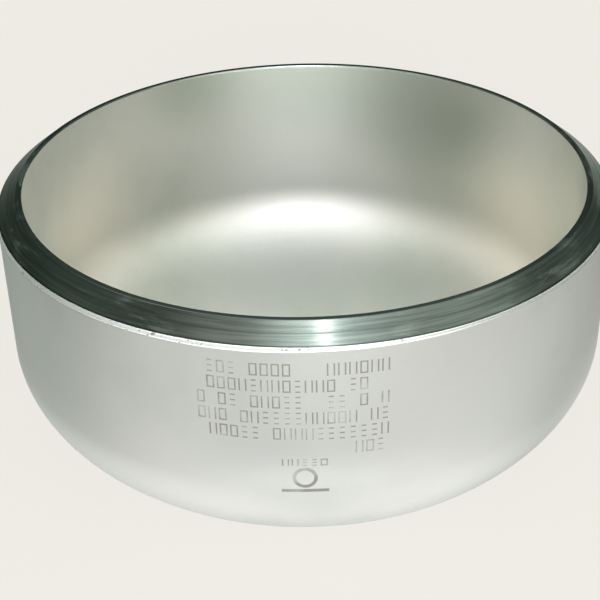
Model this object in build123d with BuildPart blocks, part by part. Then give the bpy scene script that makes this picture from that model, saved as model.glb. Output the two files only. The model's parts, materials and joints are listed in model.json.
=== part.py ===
from build123d import *
from math import radians, tan
import os

# Butt-weld pipe cap, one seamless wall of stainless steel: a straight flange that meets the pipe,
# and an ellipsoidal head that closes it. The origin is the centre of the weld end's face, and +Z
# points out of the open mouth, so the cap hangs below Z = 0. All sizes are in millimetres.

# Driving dimensions. The first three are the fitting's standard sizes.
outside_diameter = 168.3
wall_thickness = 7.11
overall_length = 89.0
head_ratio = 2.0  # inside radius of the head over its inside depth
bevel_angle = 37.5  # between the bevel and the face of the weld end
root_face = 1.6  # width of the flat land that touches the pipe
turned_band_width = 1.2  # narrow band below the bevel where the tool also skimmed the outside
turned_band_depth = 0.15
edge_break = 0.3  # radius that takes the burr off the two machined edges

# Sizes that follow from them.
outside_radius = outside_diameter / 2
inside_radius = outside_radius - wall_thickness
inside_head_depth = inside_radius / head_ratio
outside_head_depth = inside_head_depth + wall_thickness
tangent_z = outside_head_depth - overall_length  # level where the flange turns into the head
band_radius = outside_radius - turned_band_depth
land_radius = inside_radius + root_face
bevel_drop = (band_radius - land_radius) * tan(radians(bevel_angle))
band_bottom_z = -bevel_drop - turned_band_width


def wall_outline(radius, head_depth):
    """One side of the wall, from the mouth down the flange and round the head to the axis."""
    Line((radius, 0), (radius, tangent_z))
    EllipticalCenterArc((0, tangent_z), radius, head_depth, start_angle=-90, arc_size=90)


with BuildPart() as cap_body:
    # The pressed blank: flange and head in one wall. Both sides of the head are ellipses, so the
    # wall has its full thickness at the crown and the tangent line and is 0.3 mm thinner between.
    with BuildSketch(Plane.XZ):
        with BuildLine():
            wall_outline(outside_radius, outside_head_depth)
            wall_outline(inside_radius, inside_head_depth)
            Line((inside_radius, 0), (outside_radius, 0))
            Line((0, tangent_z - inside_head_depth), (0, -overall_length))
        make_face()
    revolve(axis=Axis.Z)

    # The weld preparation: one tool pass skims the outside and one turns the bevel, down to a
    # flat land at the inside edge.
    with BuildSketch(Plane.XZ) as turned_away:
        with BuildLine():
            Polyline(
                (land_radius, 0),
                (band_radius, -bevel_drop),
                (band_radius, band_bottom_z),
                (outside_radius, band_bottom_z),
                (outside_radius, 0),
                close=True,
            )
        make_face()
        # The burr comes off the corner between bevel and band.
        bevel_corner = turned_away.vertices().sort_by_distance((band_radius, -bevel_drop))[0]
        fillet(bevel_corner, radius=edge_break)
    revolve(axis=Axis.Z, mode=Mode.SUBTRACT)

    # The burr also comes off the mouth's inside edge.
    face_edges = cap_body.faces().filter_by(Plane.XY).sort_by(Axis.Z)[-1].edges()
    fillet(face_edges.sort_by(SortBy.RADIUS)[0], radius=edge_break)

cap_body.part.label = "cap_body"

os.makedirs("parts", exist_ok=True)
export_step(cap_body.part, "parts/cap_body.step")

print(f"straight flange {-tangent_z:.2f} mm, bevel drop {bevel_drop:.2f} mm")
print(f"turned band from {bevel_drop:.2f} to {-band_bottom_z:.2f} mm below the face")
print(f"metal {cap_body.part.volume / 1000:.1f} cm3")
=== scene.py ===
import bpy
import json
import math
from mathutils import Matrix, Vector


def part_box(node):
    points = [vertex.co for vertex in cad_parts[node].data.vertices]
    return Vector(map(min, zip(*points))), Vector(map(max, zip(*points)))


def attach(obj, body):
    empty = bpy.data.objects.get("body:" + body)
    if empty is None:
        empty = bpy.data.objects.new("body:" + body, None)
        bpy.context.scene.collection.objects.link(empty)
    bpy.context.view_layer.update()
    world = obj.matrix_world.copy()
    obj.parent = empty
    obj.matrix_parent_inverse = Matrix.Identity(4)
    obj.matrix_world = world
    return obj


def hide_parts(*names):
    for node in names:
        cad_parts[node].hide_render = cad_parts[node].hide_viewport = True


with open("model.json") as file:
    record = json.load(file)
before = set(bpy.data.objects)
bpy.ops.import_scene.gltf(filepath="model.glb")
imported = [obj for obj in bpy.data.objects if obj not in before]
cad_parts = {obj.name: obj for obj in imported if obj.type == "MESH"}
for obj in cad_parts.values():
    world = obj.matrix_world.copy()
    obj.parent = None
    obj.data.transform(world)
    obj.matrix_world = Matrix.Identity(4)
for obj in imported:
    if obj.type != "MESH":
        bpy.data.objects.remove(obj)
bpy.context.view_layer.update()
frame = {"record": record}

wallLow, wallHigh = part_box("cap_body")
mountSizes = {mount["name"]: mount["dims"] for mount in frame["record"]["mounts"]}
outsideRadius = wallHigh.x
overallLength = -wallLow.z
insideRadius = mountSizes["bore"]["r_mm"] / 1000
wallThickness = outsideRadius - insideRadius
rootFace = 0.0016  # the flat ring between the bore and the bevel
bandDepth = 0.00015  # how far the turned band under the bevel is skimmed
headRatio = 2.0  # inside radius of the head over its inside depth
headLevel = insideRadius / headRatio + wallThickness - overallLength  # where the flange turns into the head
print("frame loaded, outside radius", round(outsideRadius, 5), "length", round(overallLength, 5))


class Value:
    # a socket that can be written in sums, so that masks and curves read as plain arithmetic
    def __init__(self, maker, socket):
        self.maker, self.socket = maker, socket

    def __add__(self, other):
        return self.maker.maths("ADD", self, other)

    def __sub__(self, other):
        return self.maker.maths("SUBTRACT", self, other)

    def __rsub__(self, other):
        return self.maker.maths("SUBTRACT", other, self)

    def __mul__(self, other):
        return self.maker.maths("MULTIPLY", self, other)

    def __truediv__(self, other):
        return self.maker.maths("DIVIDE", self, other)

    def __rtruediv__(self, other):
        return self.maker.maths("DIVIDE", other, self)

    __radd__, __rmul__ = __add__, __mul__


class Maker:
    # adds nodes to one tree, of geometry or of a material
    def __init__(self, tree):
        self.tree = tree

    def node(self, kind, settings=None, inputs=None):
        made = self.tree.nodes.new(kind)
        for key, value in (settings or {}).items():
            setattr(made, key, value)
        for key, value in (inputs or {}).items():
            if isinstance(value, Value):
                self.tree.links.new(value.socket, made.inputs[key])
            else:
                made.inputs[key].default_value = value
        return made

    def get(self, kind, settings=None, inputs=None, output=0):
        return Value(self, self.node(kind, settings, inputs).outputs[output])

    def maths(self, operation, *values):
        return self.get("ShaderNodeMath", {"operation": operation}, dict(enumerate(values)))

    def vector(self, operation, *values, output=0):
        return self.get("ShaderNodeVectorMath", {"operation": operation}, dict(enumerate(values)), output)

    def point(self, x=0.0, y=0.0, z=0.0):
        return self.get("ShaderNodeCombineXYZ", None, {0: x, 1: y, 2: z})

    def split(self, point):
        # the x, y and z of a point
        parts = self.node("ShaderNodeSeparateXYZ", None, {0: point})
        return [Value(self, socket) for socket in parts.outputs]

    def noise(self, place, scale, detail=2.0, roughness=0.5, distortion=0.0):
        return self.get("ShaderNodeTexNoise", None, {
            "Vector": place, "Scale": scale, "Detail": detail, "Roughness": roughness,
            "Distortion": distortion})

    def smooth(self, value, start, end, low=0.0, high=1.0):
        # goes from low to high as value goes from start to end
        return self.get("ShaderNodeMapRange", {"interpolation_type": "SMOOTHSTEP"},
                        {0: value, 1: start, 2: end, 3: low, 4: high})

    def blend(self, share, first, second):
        return self.get("ShaderNodeMix", {"data_type": "RGBA"}, {0: share, 6: first, 7: second}, output=2)

    def bump(self, inputs):
        return self.get("ShaderNodeBump", None, inputs)

    def join(self, pieces):
        # Join Geometry takes its last link first, so the pieces are linked backwards
        joined = self.node("GeometryNodeJoinGeometry")
        for piece in reversed(pieces):
            self.tree.links.new(piece.socket, joined.inputs[0])
        return Value(self, joined.outputs[0])


def newTree(name, sizes):
    # a geometry tree with one named input for each size
    tree = bpy.data.node_groups.new(name, "GeometryNodeTree")
    tree.interface.new_socket(name="Geometry", in_out="OUTPUT", socket_type="NodeSocketGeometry")
    for label, value in sizes.items():
        kind = "NodeSocketFloat"
        if isinstance(value, int):
            kind = "NodeSocketInt"
        if isinstance(value, bpy.types.Material):
            kind = "NodeSocketMaterial"
        tree.interface.new_socket(name=label, in_out="INPUT", socket_type=kind)
    maker = Maker(tree)
    source = maker.node("NodeGroupInput")
    return tree, maker, {label: Value(maker, source.outputs[label]) for label in sizes}


def meshFromTree(name, tree, sizes):
    holder = bpy.data.objects.new(name + "Holder", bpy.data.meshes.new(name + "Seed"))
    bpy.context.scene.collection.objects.link(holder)
    modifier = holder.modifiers.new("build", "NODES")
    modifier.node_group = tree
    for socket in tree.interface.items_tree:
        if socket.in_out == "INPUT":
            modifier[socket.identifier] = sizes[socket.name]
    graph = bpy.context.evaluated_depsgraph_get()
    plain = bpy.data.meshes.new_from_object(holder.evaluated_get(graph))
    plain.materials.pop(index=0)  # the empty slot that the primitives bring
    holder.modifiers.remove(modifier)
    bpy.data.objects.remove(holder)
    piece = bpy.data.objects.new(name, plain)
    bpy.context.scene.collection.objects.link(piece)
    return piece


def newMaterial(name):
    material = bpy.data.materials.new(name)
    material.use_nodes = True
    material.node_tree.nodes.clear()
    return material, Maker(material.node_tree)


def bareSteel(maker, inputs):
    shader = maker.get("ShaderNodeBsdfPrincipled", None, {"Metallic": 1.0, **inputs})
    maker.node("ShaderNodeOutputMaterial", None, {"Surface": shader})


# the satin outside and inside, with soft spots of painted light and shade on both
# a range says at which value of a noise, a level or a distance a change starts, and at which it is full

satinSkin = {  # what both sides share
    "patchRange": (0.42, 0.68),
    "headRange": (headLevel + 0.012, headLevel - 0.008),  # from the flange's roughness to the head's
    "ringRange": (headLevel - 0.004, headLevel - 0.014),  # where the rings on the floor begin
    "grainRoughness": 0.08,
    "grainStrength": 0.5,
}
satinOutside = {
    "radius": outsideRadius,
    "colour": (0.79, 0.79, 0.755, 1),
    "greyPatch": (0.72, 0.73, 0.69, 1),  # where the pickling left the skin a shade duller
    "patchSize": 0.045,
    "roughness": 0.48,
    "headRoughness": 0.62,
    "patchRoughness": 0.10,
    "grainSize": 0.0006,
    "grainDepth": 0.00006,
    "paintedLightSpots": [  # painted light: soft round spots of painted shade and painted highlight, each round a centre on the wall
        {"azimuth": 44, "level": -0.062, "reach": 0.046, "share": 0.8, "colour": (0.58, 0.60, 0.55, 1)},
        {"azimuth": -75, "level": -0.030, "reach": 0.034, "share": 0.5, "colour": (0.82, 0.82, 0.79, 1)},
        {"azimuth": 72, "level": -0.040, "reach": 0.040, "share": 0.7, "colour": (0.88, 0.87, 0.83, 1)},
        {"azimuth": 30, "level": -0.040, "reach": 0.034, "share": 0.5, "colour": (0.83, 0.83, 0.81, 1)},
    ],
}
satinInside = {
    "radius": insideRadius,
    "colour": (0.755, 0.76, 0.71, 1),
    "greyPatch": (0.655, 0.685, 0.625, 1),
    "patchSize": 0.05,
    "roughness": 0.49,
    "headRoughness": 0.53,
    "patchRoughness": 0.08,
    "grainSize": 0.0007,
    "grainDepth": 0.00008,
    "rings": {"pitch": 0.0011, "depth": 0.00003},  # left on the floor by the spinning
    # soft round spots of painted light on the inner wall and floor: dull greenish painted reflections and
    # painted shade, a bright painted highlight at the back, warm painted reflections at the sides
    "paintedLightSpots": [
        {"azimuth": 180, "level": -0.044, "reach": 0.044, "share": 1.0, "colour": (1.0, 1.0, 0.97, 1)},
        {"azimuth": 180, "level": 0.020, "reach": 0.062, "share": 1.0, "colour": (0.50, 0.54, 0.48, 1)},
        {"azimuth": 156, "level": -0.008, "reach": 0.032, "share": 0.55, "colour": (0.48, 0.52, 0.46, 1)},
        {"azimuth": 141, "level": -0.014, "reach": 0.036, "share": 0.9, "colour": (0.42, 0.46, 0.40, 1)},
        {"azimuth": -153, "level": 0.002, "reach": 0.026, "share": 0.9, "colour": (0.46, 0.51, 0.44, 1)},
        {"azimuth": -118, "level": -0.036, "reach": 0.038, "share": 0.75, "colour": (0.96, 0.89, 0.81, 1)},
        {"azimuth": 118, "level": -0.040, "reach": 0.038, "share": 0.9, "colour": (0.97, 0.91, 0.82, 1)},
        {"azimuth": 96, "level": -0.014, "reach": 0.030, "share": 0.6, "colour": (0.95, 0.91, 0.82, 1)},
        {"azimuth": 180, "level": -0.079, "reach": 0.058, "share": 0.85, "colour": (0.42, 0.45, 0.42, 1)},
    ],
}


def satinMaterial(name, finish):
    material, maker = newMaterial(name)
    place = maker.get("ShaderNodeTexCoord", output="Object")
    height = maker.split(place)[2]
    patches = maker.noise(place, 1 / finish["patchSize"], detail=4.0, roughness=0.55)
    grain = maker.noise(place, 1 / finish["grainSize"], roughness=0.6)
    dull = maker.smooth(patches, *satinSkin["patchRange"])
    colour = maker.blend(dull, finish["colour"], finish["greyPatch"])
    # each spot blends its painted light into the steel's colour, darker for painted shade and lighter for
    # painted highlight
    for shade in finish["paintedLightSpots"]:
        turn = math.radians(shade["azimuth"])
        centre = (math.sin(turn) * finish["radius"], -math.cos(turn) * finish["radius"], shade["level"])
        away = maker.vector("DISTANCE", place, centre, output="Value")
        share = maker.smooth(away, shade["reach"], 0.0, 0.0, shade["share"])
        colour = maker.blend(share, colour, shade["colour"])
    roughness = maker.smooth(height, *satinSkin["headRange"], finish["roughness"], finish["headRoughness"])
    roughness = roughness + (patches - 0.5) * finish["patchRoughness"]
    roughness = roughness + (grain - 0.5) * satinSkin["grainRoughness"]
    bump = maker.bump({
        "Strength": satinSkin["grainStrength"], "Distance": finish["grainDepth"], "Height": grain})
    if "rings" in finish:
        rings = maker.noise(maker.point(z=height / finish["rings"]["pitch"]), 1.0)
        onFloor = maker.smooth(height, *satinSkin["ringRange"])
        bump = maker.bump({
            "Strength": 1.0, "Distance": finish["rings"]["depth"], "Height": rings * onFloor,
            "Normal": bump})
    bareSteel(maker, {"Base Color": colour, "Roughness": roughness, "Normal": bump})
    return material


# the turned weld bevel, and the skimmed band beside it

turnedFinish = {
    "colour": (0.62, 0.67, 0.635, 1),
    "dark": (0.43, 0.49, 0.45, 1),  # between the brighter turning marks
    "markRange": (0.35, 0.65),
    "groovePitch": 0.00055,
    "streakLength": 0.022,
    "grooveDepth": 0.0000009,
    "grooveRoughness": 0.08,
    "toolLine": (0.16, 0.18, 0.175, 1),  # one deeper pass of the tool, half way up the bevel
    "toolLineRadius": 0.0812,
    "toolLineWidth": 0.00030,
    "toolLineShare": 0.55,
    "toolLineRoughness": 0.06,
    "edgeRadius": outsideRadius - bandDepth,  # a dark line just inside the bevel's outer edge, as dark as the tool line
    "edgeLineWidth": 0.00030,
    "edgeLineShare": 0.8,
    "land": (0.30, 0.33, 0.31, 1),  # the flat ring between the bevel and the bore
    "landRadius": insideRadius + rootFace,
    "landBlend": 0.0001,
    "landShare": 0.85,
    "smear": (0.67, 0.75, 0.68, 1),  # cloudy rubs where the bevel was handled
    "smearRange": (0.50, 0.66),
    "smearSize": 0.018,
    "smearHeight": 0.004,
    "smearShare": 0.6,
    "smearRoughness": 0.13,
    "catchRange": (0.25, 0.60),  # a rub catches the turning marks that stand up
    "catchLeast": 0.35,
    "roughness": 0.105,
    "anisotropy": 0.85,
}
# the band's colour is a painted highlight across its middle, which turns to painted shade towards both
# sides; the nicks are real wear
bandFinish = {
    "colour": (0.93, 0.94, 0.92, 1),
    "faded": (0.64, 0.66, 0.62, 1),  # painted shade towards both sides, away from the painted highlight
    "paintedHighlightMiddle": -0.010,
    "paintedHighlightFalloff": (0.026, 0.060),  # distance from the middle of the painted highlight
    "nick": (0.42, 0.43, 0.42, 1),
    "nicksPerMetre": 1400.0,
    "nickRange": (0.56, 0.66),
    "wearPerMetre": 60.0,  # the nicks come in groups, where the band is worn
    "wearRange": (0.48, 0.60),
    "wearRoughness": 0.1,
    "roughness": 0.62,
    "anisotropy": 0.3,
}


def turnedMaterial(name, finish):
    material, maker = newMaterial(name)
    x, y = maker.split(maker.get("ShaderNodeTexCoord", output="Object"))[:2]
    radius = maker.maths("SQRT", x * x + y * y)

    # both noises are drawn out along the turning
    streak, cloudSize = finish["streakLength"], finish["smearSize"]
    along = maker.point(x / streak, y / streak, radius / finish["groovePitch"])
    marks = maker.noise(along, 1.0, roughness=0.6)
    along = maker.point(x / cloudSize, y / cloudSize, radius / finish["smearHeight"])
    cloud = maker.noise(along, 1.0, detail=5.0, roughness=0.62, distortion=0.4)
    smear = maker.smooth(cloud, *finish["smearRange"])
    smear = smear * maker.smooth(marks, *finish["catchRange"], finish["catchLeast"], 1.0)

    fromLine = maker.maths("ABSOLUTE", radius - finish["toolLineRadius"])
    line = maker.smooth(fromLine, 0.0, finish["toolLineWidth"], 1.0, 0.0)
    edgeRadius, edgeWidth = finish["edgeRadius"], finish["edgeLineWidth"]
    edge = maker.smooth(radius, edgeRadius - edgeWidth * 2, edgeRadius - edgeWidth)
    cut = maker.maths("MAXIMUM", line * finish["toolLineShare"], edge * finish["edgeLineShare"])
    landRadius, landBlend = finish["landRadius"], finish["landBlend"]
    onLand = maker.smooth(radius, landRadius + landBlend, landRadius - landBlend)

    colour = maker.blend(maker.smooth(marks, *finish["markRange"]), finish["dark"], finish["colour"])
    colour = maker.blend(smear * finish["smearShare"], colour, finish["smear"])
    colour = maker.blend(cut, colour, finish["toolLine"])
    colour = maker.blend(onLand * finish["landShare"], colour, finish["land"])
    roughness = finish["roughness"] + (marks - 0.5) * finish["grooveRoughness"]
    roughness = roughness + line * finish["toolLineRoughness"] + smear * finish["smearRoughness"]
    bump = maker.bump({"Strength": 1.0, "Distance": finish["grooveDepth"], "Height": marks})
    bareSteel(maker, {
        "Base Color": colour, "Roughness": roughness, "Normal": bump, "Anisotropic": finish["anisotropy"]})
    return material


def bandMaterial(name, finish):
    material, maker = newMaterial(name)
    place = maker.get("ShaderNodeTexCoord", output="Object")
    x = maker.split(place)[0]
    nicks = maker.noise(place, finish["nicksPerMetre"])
    worn = maker.noise(place, finish["wearPerMetre"])
    chipped = maker.smooth(nicks, *finish["nickRange"]) * maker.smooth(worn, *finish["wearRange"])
    # painted highlight in the middle of the band, painted shade towards its sides
    fading = maker.smooth(maker.maths("ABSOLUTE", x - finish["paintedHighlightMiddle"]), *finish["paintedHighlightFalloff"])
    colour = maker.blend(fading, finish["colour"], finish["faded"])
    colour = maker.blend(chipped, colour, finish["nick"])
    roughness = finish["roughness"] + (worn - 0.5) * finish["wearRoughness"]
    bareSteel(maker, {"Base Color": colour, "Roughness": roughness, "Anisotropic": finish["anisotropy"]})
    return material


outsideSatin = satinMaterial("pickledSatinOutside", satinOutside)
insideSatin = satinMaterial("pickledSatinInside", satinInside)
turnedSteel = turnedMaterial("turnedBevel", turnedFinish)
bandSteel = bandMaterial("skimmedBand", bandFinish)
print("steel finishes made")


# the wall of the cap is one profile, walked from the inside crown to the outside crown and then spun

capSizes = {
    "Segments": 384,
    "Outside Radius": outsideRadius,
    "Wall": wallThickness,
    "Length": overallLength,
    "Head Ratio": headRatio,
    "Bevel Angle": math.radians(37.5),
    "Root Face": rootFace,
    "Band Width": 0.0012,  # turned band below the bevel
    "Band Depth": bandDepth,
    "Edge Round": 0.0003,
    "Run Out": 0.00025,  # how far the band's lower edge wanders up and down
    "Run Out Scale": 2.5,
    "Fade": 0.00070,  # how much narrower the band is on one side, and wider on the other
    "Fade Side": math.radians(60),
    "Seed": 3,
    "Outside Finish": outsideSatin,
    "Inside Finish": insideSatin,
    "Turned Finish": turnedSteel,
    "Band Finish": bandSteel,
}
capParts = {  # the parts of the profile in their order
    "innerHead": {"points": 54, "finish": "Inside Finish"},
    "innerFlange": {"points": 14, "finish": "Inside Finish"},
    "innerEdge": {"points": 5, "finish": "Turned Finish"},
    "land": {"points": 6, "finish": "Turned Finish"},
    "bevel": {"points": 16, "finish": "Turned Finish"},
    "outerEdge": {"points": 5, "finish": "Band Finish"},
    "band": {"points": 6, "finish": "Band Finish"},
    "step": {"points": 4, "finish": "Band Finish"},
    "outerFlange": {"points": 24, "finish": "Outside Finish"},
    "outerHead": {"points": 60, "finish": "Outside Finish"},
}
finishNumbers = {"Outside Finish": 0, "Inside Finish": 1, "Turned Finish": 2, "Band Finish": 3}
numberMargin = 0.3  # how near a stored value has to be to one of them
seedStep = 7.31  # moves the noise far enough to differ from one seed to the next


def capProfile(maker, size, index):
    outer, inner = size["Outside Radius"], size["Outside Radius"] - size["Wall"]
    innerDepth = inner / size["Head Ratio"]
    outerDepth = innerDepth + size["Wall"]
    tangent = outerDepth - size["Length"]
    angle, edge = size["Bevel Angle"], size["Edge Round"]
    skimmed = outer - size["Band Depth"]
    landRadius = inner + size["Root Face"]
    drop = (skimmed - landRadius) * maker.maths("TANGENT", angle)
    bandBottom = 0 - drop - size["Band Width"]
    turn = math.pi / 2 - angle  # between the bevel and the band, across the corner that is rounded
    bite = edge * maker.maths("TANGENT", turn * 0.5)
    edgeX, edgeZ = skimmed - edge, 0 - drop - bite
    bevelEndX = edgeX + edge * maker.maths("COSINE", turn)
    bevelEndZ = edgeZ + edge * maker.maths("SINE", turn)

    def arc(centreX, centreZ, radiusX, radiusZ, start, end):
        def place(share):
            here = share * (end - start) + start
            x = centreX + radiusX * maker.maths("COSINE", here)
            z = centreZ + radiusZ * maker.maths("SINE", here)
            return x, z
        return place

    def straight(startX, startZ, endX, endZ):
        def place(share):
            eased = 0.5 - maker.maths("COSINE", share * math.pi) * 0.5  # closer together at both ends
            return startX + eased * (endX - startX), startZ + eased * (endZ - startZ)
        return place

    paths = {
        "innerHead": arc(0.0, tangent, inner, innerDepth, -math.pi / 2, 0.0),
        "innerFlange": straight(inner, tangent, inner, 0 - edge),
        "innerEdge": arc(inner + edge, 0 - edge, edge, edge, math.pi, math.pi / 2),
        "land": straight(inner + edge, 0.0, landRadius, 0.0),
        "bevel": straight(landRadius, 0.0, bevelEndX, bevelEndZ),
        "outerEdge": arc(edgeX, edgeZ, edge, edge, turn, 0.0),
        "band": straight(skimmed, edgeZ, skimmed, bandBottom),
        "step": straight(skimmed, bandBottom, outer, bandBottom),
        "outerFlange": straight(outer, bandBottom, outer, tangent),
        "outerHead": arc(0.0, tangent, outer, outerDepth, 0.0, -math.pi / 2),
    }
    lines = []
    for name, part in capParts.items():
        radius, height = paths[name](index / (part["points"] - 1))
        line = maker.get("GeometryNodeMeshLine", None, {"Count": part["points"]})
        line = maker.get("GeometryNodeSetPosition", None, {
            "Geometry": line, "Position": maker.point(radius, 0.0, height)})
        line = maker.get("GeometryNodeStoreNamedAttribute", {"data_type": "FLOAT", "domain": "POINT"}, {
            "Geometry": line, "Name": "finish", "Value": float(finishNumbers[part["finish"]])})
        lines.append(line)
    return maker.join(lines), skimmed, bandBottom


def capTree():
    tree, maker, size = newTree("SpunWall", capSizes)
    index = maker.get("GeometryNodeInputIndex")
    profile, skimmed, bandBottom = capProfile(maker, size, index)

    # each row of the grid takes its radius, height and finish from one point of the profile
    rows, columns = sum(part["points"] for part in capParts.values()), size["Segments"] + 1
    grid = maker.get("GeometryNodeMeshGrid", None, {
        "Size X": 1.0, "Size Y": 1.0, "Vertices X": rows, "Vertices Y": columns})
    row = maker.maths("FLOOR", (index + 0.5) / columns)
    column = index - row * columns
    around = column / size["Segments"] * math.tau
    stored = maker.get("GeometryNodeInputNamedAttribute", {"data_type": "FLOAT"}, {"Name": "finish"})
    point = maker.get("GeometryNodeSampleIndex", {"data_type": "FLOAT_VECTOR", "domain": "POINT"}, {
        "Geometry": profile, "Value": maker.get("GeometryNodeInputPosition"), "Index": row})
    finish = maker.get("GeometryNodeSampleIndex", {"data_type": "FLOAT", "domain": "POINT"}, {
        "Geometry": profile, "Value": stored, "Index": row})
    radius, height = maker.split(point)[::2]

    # the band's lower edge wanders, because the pressed blank isn't perfectly round where it is skimmed
    cosine, sine = maker.maths("COSINE", around), maker.maths("SINE", around)
    circle = maker.point(cosine, sine, size["Seed"] * seedStep)
    wander = (maker.noise(circle, size["Run Out Scale"]) - 0.5) * 2
    fade = maker.maths("COSINE", around + math.pi / 2 - size["Fade Side"])
    fromStep = maker.maths("ABSOLUTE", height - bandBottom) / size["Band Width"]
    nearStep = maker.maths("MAXIMUM", 1 - fromStep, 0.0)
    onOutside = maker.maths("GREATER_THAN", radius, skimmed - size["Band Depth"] * 0.5)
    height = height + nearStep * onOutside * (wander * size["Run Out"] + fade * size["Fade"])

    spun = maker.point(radius * cosine, radius * sine, height)
    wall = maker.get("GeometryNodeSetPosition", None, {"Geometry": grid, "Position": spun})
    wall = maker.get("GeometryNodeStoreNamedAttribute", {"data_type": "FLOAT", "domain": "FACE"}, {
        "Geometry": wall, "Name": "finish", "Value": finish})
    wall = maker.get("GeometryNodeMergeByDistance", None, {"Geometry": wall, "Distance": 1e-6})
    wall = maker.get("GeometryNodeSetShadeSmooth", None, {"Geometry": wall})
    wall = maker.get("GeometryNodeRealizeInstances", None, {"Geometry": wall})
    for label, number in finishNumbers.items():
        here = maker.maths("COMPARE", stored, float(number), numberMargin)
        wall = maker.get("GeometryNodeSetMaterial", None, {
            "Geometry": wall, "Selection": here, "Material": size[label]})
    maker.node("NodeGroupOutput", None, {"Geometry": wall})
    return tree


capWall = meshFromTree("spun_wall", capTree(), capSizes)
print("wall spun:", len(capWall.data.vertices), "points,", len(capWall.data.polygons), "faces")


# the etched marking is rows of plain boxes, ticks and dashes, and a ring over a bar

markSizes = {
    "Rows": 5,
    "Cells": 18,
    "Row Pitch": 0.00450,
    "Cell Pitch": 0.00255,
    "Top Level": -0.0100,
    "Right Edge": 0.0176,  # along the outside, from the front
    "Shortest Row": 0.88,  # of its cells
    "Gaps": 0.12,  # share of the cells that stay empty
    "Dashes": 0.35,  # share of the marks that are three dashes
    "Boxes": 0.35,  # share that are boxes, and the rest are pairs of ticks
    "Mark Width": 0.6,  # of its cell
    "Stroke Height": 0.0034,
    "Stroke Width": 0.00036,
    "Last Row Cells": 3,
    "Last Row Edge": 0.01658,
    "Small Row Cells": 5,
    "Small Row Pitch": 0.002295,
    "Small Row Level": -0.03641,
    "Small Row Edge": 0.00306,
    "Small Row Height": 0.00204,
    "Ring Radius": 0.0026,
    "Ring Level": -0.0410,
    "Ring Side": -0.00153,
    "Ring Stroke": 0.000864,
    "Bar Length": 0.01144,
    "Bar Level": -0.0449,
    "Radius": outsideRadius,
    "Thickness": 0.00008,
    "Proud": 0.00002,
    "Seed": 11,
}
markFinish = {
    "colour": (0.36, 0.345, 0.305, 1),
    "faded": (0.60, 0.605, 0.57, 1),
    "wearPerMetre": 160.0,
    "wearRange": (0.42, 0.66),
    "wearRoughness": 0.2,
    "roughness": 0.55,
}


def etchMaterial(finish):
    material, maker = newMaterial("etchedMark")
    place = maker.get("ShaderNodeTexCoord", output="Object")
    wear = maker.noise(place, finish["wearPerMetre"], detail=3.0)
    colour = maker.blend(maker.smooth(wear, *finish["wearRange"]), finish["colour"], finish["faded"])
    roughness = finish["roughness"] - (wear - 0.5) * finish["wearRoughness"]
    bareSteel(maker, {"Base Color": colour, "Roughness": roughness})
    return material


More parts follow.
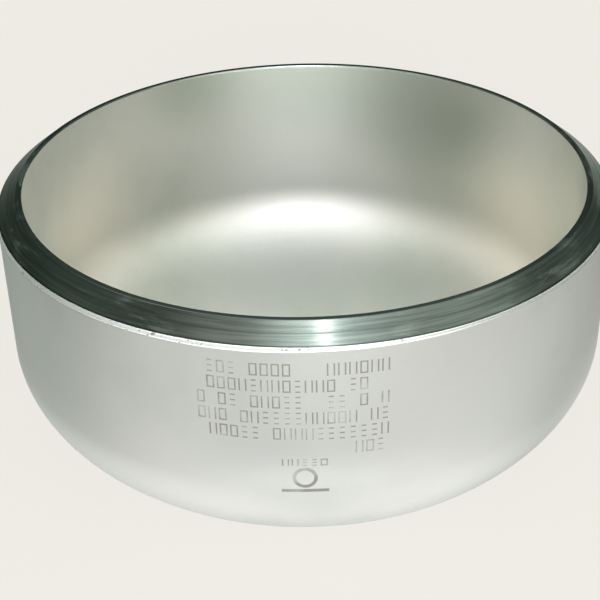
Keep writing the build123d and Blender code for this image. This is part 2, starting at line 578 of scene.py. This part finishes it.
def markTree(material):
    tree, maker, size = newTree("EtchedRows", markSizes)
    index = maker.get("GeometryNodeInputIndex")

    def above(value, limit):
        return maker.maths("GREATER_THAN", value, limit)

    def below(value, limit):
        return maker.maths("LESS_THAN", value, limit)

    def chance(offset, key):
        return maker.get("FunctionNodeRandomValue", {"data_type": "FLOAT"}, {
            2: 0.0, 3: 1.0, "ID": key, "Seed": size["Seed"] + offset}, output=1)

    def moved(shape, x, z, turn=0.0):
        return maker.get("GeometryNodeTransform", None, {
            "Geometry": shape, "Translation": maker.point(x, 0.0, z), "Rotation": (turn, 0.0, 0.0)})

    def bar(width, height, x, z):
        made = maker.get("GeometryNodeMeshCube", None, {
            "Size": maker.point(width, size["Thickness"], height),
            "Vertices X": 3, "Vertices Y": 2, "Vertices Z": 2})
        return moved(made, x, z)

    def rowsOfMarks(rows, cells, edge, top, pitch, tall, shortest, offset):
        # each row starts at the right edge and ends where its own length says
        grid = maker.get("GeometryNodeMeshGrid", None, {
            "Size X": 1.0, "Size Y": 1.0, "Vertices X": rows, "Vertices Y": cells})
        row = maker.maths("FLOOR", (index + 0.5) / cells)
        cell = index - row * cells
        length = cells * (shortest + chance(offset + 1, row) * (1 - shortest))
        written = below(cell, length) * above(chance(offset + 2, index), size["Gaps"])
        layout = maker.point(edge - cell * pitch, 0.0, top - row * size["Row Pitch"])
        points = maker.get("GeometryNodeSetPosition", None, {"Geometry": grid, "Position": layout})
        points = maker.get("GeometryNodeMeshToPoints", {"mode": "VERTICES"}, {
            "Mesh": points, "Selection": written})
        kind, thin = chance(offset + 3, index), size["Stroke Width"]
        dashes, boxes = size["Dashes"], size["Dashes"] + size["Boxes"]
        upright, crossed = above(kind, dashes), below(kind, boxes)
        half = pitch * size["Mark Width"] * 0.5
        across, end = half * 2 - thin, (tall - thin) * 0.5
        strokes = (
            (bar(thin, tall, half, 0.0), upright),
            (bar(thin, tall, 0 - half, 0.0), upright),
            (bar(across, thin, 0.0, end), crossed),
            (bar(across, thin, 0.0, 0 - end), crossed),
            (bar(across, thin, 0.0, 0.0), below(kind, dashes)),
        )
        return [maker.get("GeometryNodeInstanceOnPoints", None, {
            "Points": points, "Selection": here, "Instance": shape}) for shape, here in strokes]

    pitch, tall = size["Cell Pitch"], size["Stroke Height"]
    top, lastTop = size["Top Level"], size["Top Level"] - size["Rows"] * size["Row Pitch"]
    pieces = rowsOfMarks(size["Rows"], size["Cells"], size["Right Edge"], top, pitch, tall,
                         shortest=size["Shortest Row"], offset=0)
    pieces += rowsOfMarks(1, size["Last Row Cells"], size["Last Row Edge"], lastTop, pitch, tall,
                          shortest=1.0, offset=10)
    pieces += rowsOfMarks(1, size["Small Row Cells"], size["Small Row Edge"], size["Small Row Level"],
                          size["Small Row Pitch"], size["Small Row Height"], shortest=1.0, offset=20)

    circle = maker.get("GeometryNodeCurvePrimitiveCircle", None, {
        "Resolution": 48, "Radius": size["Ring Radius"]})
    section = maker.get("GeometryNodeCurvePrimitiveQuadrilateral", None, {
        "Width": size["Ring Stroke"], "Height": size["Thickness"]})
    ring = maker.get("GeometryNodeCurveToMesh", None, {"Curve": circle, "Profile Curve": section})
    pieces.append(moved(ring, size["Ring Side"], size["Ring Level"], turn=math.pi / 2))
    pieces.append(bar(size["Bar Length"], size["Ring Stroke"], size["Ring Side"], size["Bar Level"]))

    # the marks are laid out flat and then wrapped round the wall, mostly sunk in it
    flat = maker.get("GeometryNodeRealizeInstances", None, {"Geometry": maker.join(pieces)})
    along, depth, height = maker.split(maker.get("GeometryNodeInputPosition"))
    turn = along / size["Radius"]
    reach = size["Radius"] + size["Proud"] - size["Thickness"] * 0.5 - depth
    x, y = reach * maker.maths("SINE", turn), 0 - reach * maker.maths("COSINE", turn)
    marks = maker.get("GeometryNodeSetPosition", None, {
        "Geometry": flat, "Position": maker.point(x, y, height)})
    marks = maker.get("GeometryNodeSetShadeSmooth", None, {"Geometry": marks, "Shade Smooth": False})
    marks = maker.get("GeometryNodeSetMaterial", None, {"Geometry": marks, "Material": material})
    maker.node("NodeGroupOutput", None, {"Geometry": marks})
    return tree


marks = meshFromTree("etched_rows", markTree(etchMaterial(markFinish)), markSizes)
print("marking laid on:", len(marks.data.polygons), "faces")

for piece in (capWall, marks):
    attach(piece, "root")
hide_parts("cap_body")


# floor, light and camera

studio = {
    "pale": (0.855, 0.831, 0.783, 1),  # floor and backdrop as the camera sees them
    "floorSize": 6.0,
    "floorShade": 0.12,  # how much of the floor is lit, so that a faint shadow shows
    "floorGlow": 1.015,
}


def paleFloor():
    side = studio["floorSize"] / 2
    corners = [(x * side, y * side, wallLow.z) for x, y in ((-1, -1), (1, -1), (1, 1), (-1, 1))]
    mesh = bpy.data.meshes.new("floor")
    mesh.from_pydata(corners, [], [(0, 1, 2, 3)])
    floor = bpy.data.objects.new("floor", mesh)
    bpy.context.scene.collection.objects.link(floor)
    material, maker = newMaterial("paleFloor")
    glow = maker.get("ShaderNodeEmission", None, {"Color": studio["pale"], "Strength": studio["floorGlow"]})
    lit = maker.get("ShaderNodeBsdfDiffuse", None, {"Color": studio["pale"]})
    mixed = maker.get("ShaderNodeMixShader", None, {0: studio["floorShade"], 1: glow, 2: lit})
    maker.node("ShaderNodeOutputMaterial", None, {"Surface": mixed})
    mesh.materials.append(material)
    floor.visible_glossy = False


# soft lights round the cap: azimuth from the front, elevation and half width in degrees
softLights = {
    "window": {"azimuth": 0, "elevation": 5, "width": 22, "power": 12.8, "tint": (0.93, 1, 1)},
    "windowTop": {"azimuth": 0, "elevation": 22, "width": 22, "power": 9.0, "tint": (1.03, 0.96, 1.06)},
    "windowLeft": {"azimuth": -30, "elevation": 36, "width": 40, "power": 2.65, "tint": (1, 1, 0.95)},
    "windowRight": {"azimuth": 30, "elevation": 36, "width": 40, "power": 1.32, "tint": (1, 0.95, 1.05)},
    "windowLow": {"azimuth": 30, "elevation": 12, "width": 40, "power": 2.45, "tint": (1, 1, 0.86)},
    "sideRight": {"azimuth": 60, "elevation": 36, "width": 40, "power": 0.80, "tint": (0.9, 1, 0.85)},
    "overhead": {"azimuth": 15, "elevation": 70, "width": 23, "power": 0.68, "tint": (0.88, 1, 0.97)},
    "lamp": {"azimuth": 12.5, "elevation": 72, "width": 1.8, "power": 5.5, "tint": (1, 1, 1)},
    "lampUpper": {"azimuth": 19, "elevation": 78, "width": 1.8, "power": 5.5, "tint": (1, 1, 1)},
    "lampLower": {"azimuth": 9.5, "elevation": 66, "width": 1.8, "power": 5.5, "tint": (1, 1, 1)},
    "lampGlow": {"azimuth": -3, "elevation": 72, "width": 14, "power": 0.42, "tint": (0.95, 1, 0.99)},
    "behindRight": {"azimuth": 164, "elevation": -14, "width": 42, "power": 0.30, "tint": (0.95, 1, 0.9)},
    "behindLeft": {"azimuth": -165, "elevation": -15, "width": 38, "power": 0.12, "tint": (0.95, 1, 0.92)},
    "sideBackLeft": {"azimuth": -95, "elevation": 42, "width": 30, "power": 0.05, "tint": (0.9, 1, 0.9)},
    "sideBack": {"azimuth": 112, "elevation": 30, "width": 45, "power": 0.05, "tint": (0.9, 1, 0.95)},
    "ceilingBehind": {"azimuth": 180, "elevation": 66, "width": 42, "power": 1.10, "tint": (0.9, 1, 0.95)},
    "tableUnderRight": {"azimuth": 60, "elevation": -65, "width": 45, "power": 1.48, "tint": (1, 1, 1)},
    "tableUnderLeft": {"azimuth": -60, "elevation": -65, "width": 45, "power": 1.40, "tint": (1, 1, 1)},
    "tableLeft": {"azimuth": -60, "elevation": -38, "width": 40, "power": 0.43, "tint": (1, 1, 0.95)},
    "tableRight": {"azimuth": 100, "elevation": -38, "width": 50, "power": 0.62, "tint": (1, 1, 1)},
    "tableBack": {"azimuth": -120, "elevation": -38, "width": 40, "power": 0.55, "tint": (0.9, 1, 0.92)},
}
roomGlow = (0.030, 0.042, 0.033)


def studioWorld():
    world = bpy.data.worlds.new("softStudio")
    bpy.context.scene.world = world
    world.use_nodes = True
    world.node_tree.nodes.clear()
    maker = Maker(world.node_tree)
    direction = maker.vector("NORMALIZE", maker.get("ShaderNodeTexCoord", output="Generated"))
    total = roomGlow
    for light in softLights.values():
        azimuth, elevation = math.radians(light["azimuth"]), math.radians(light["elevation"])
        level = math.cos(elevation)
        axis = (math.sin(azimuth) * level, -math.cos(azimuth) * level, math.sin(elevation))
        closeness = maker.vector("DOT_PRODUCT", direction, axis, output="Value")
        away = maker.maths("ARCCOSINE", maker.maths("MINIMUM", closeness, 1.0))
        share = maker.smooth(away, 0.0, math.radians(light["width"]), light["power"], 0.0)
        tint = maker.get("ShaderNodeVectorMath", {"operation": "SCALE"}, {0: light["tint"], "Scale": share})
        total = maker.vector("ADD", total, tint)
    room = maker.get("ShaderNodeBackground", None, {"Color": total, "Strength": 1.0})
    backdrop = maker.get("ShaderNodeBackground", None, {"Color": studio["pale"], "Strength": 1.0})
    seen = maker.get("ShaderNodeLightPath", output="Is Camera Ray")
    mixed = maker.get("ShaderNodeMixShader", None, {0: seen, 1: room, 2: backdrop})
    maker.node("ShaderNodeOutputWorld", None, {"Surface": mixed})


view = {
    "position": (-0.00181, -0.33233, 0.16014),
    "tilt": 31.39,  # degrees below level
    "roll": -1.31,
    "lens": 79.62,
    "sensor": 36,
    "nearest": 0.01,
    "farthest": 50,
}


def addCamera():
    data = bpy.data.cameras.new("camera")
    data.lens, data.sensor_width = view["lens"], view["sensor"]
    data.clip_start, data.clip_end = view["nearest"], view["farthest"]
    camera = bpy.data.objects.new("camera", data)
    bpy.context.scene.collection.objects.link(camera)
    tilt = Matrix.Rotation(math.radians(90 - view["tilt"]), 4, "X")
    roll = Matrix.Rotation(math.radians(view["roll"]), 4, "Z")
    camera.matrix_world = Matrix.Translation(Vector(view["position"])) @ tilt @ roll
    bpy.context.scene.camera = camera


paleFloor()
studioWorld()
addCamera()
bpy.context.scene.view_settings.view_transform = "Standard"
print("studio ready")
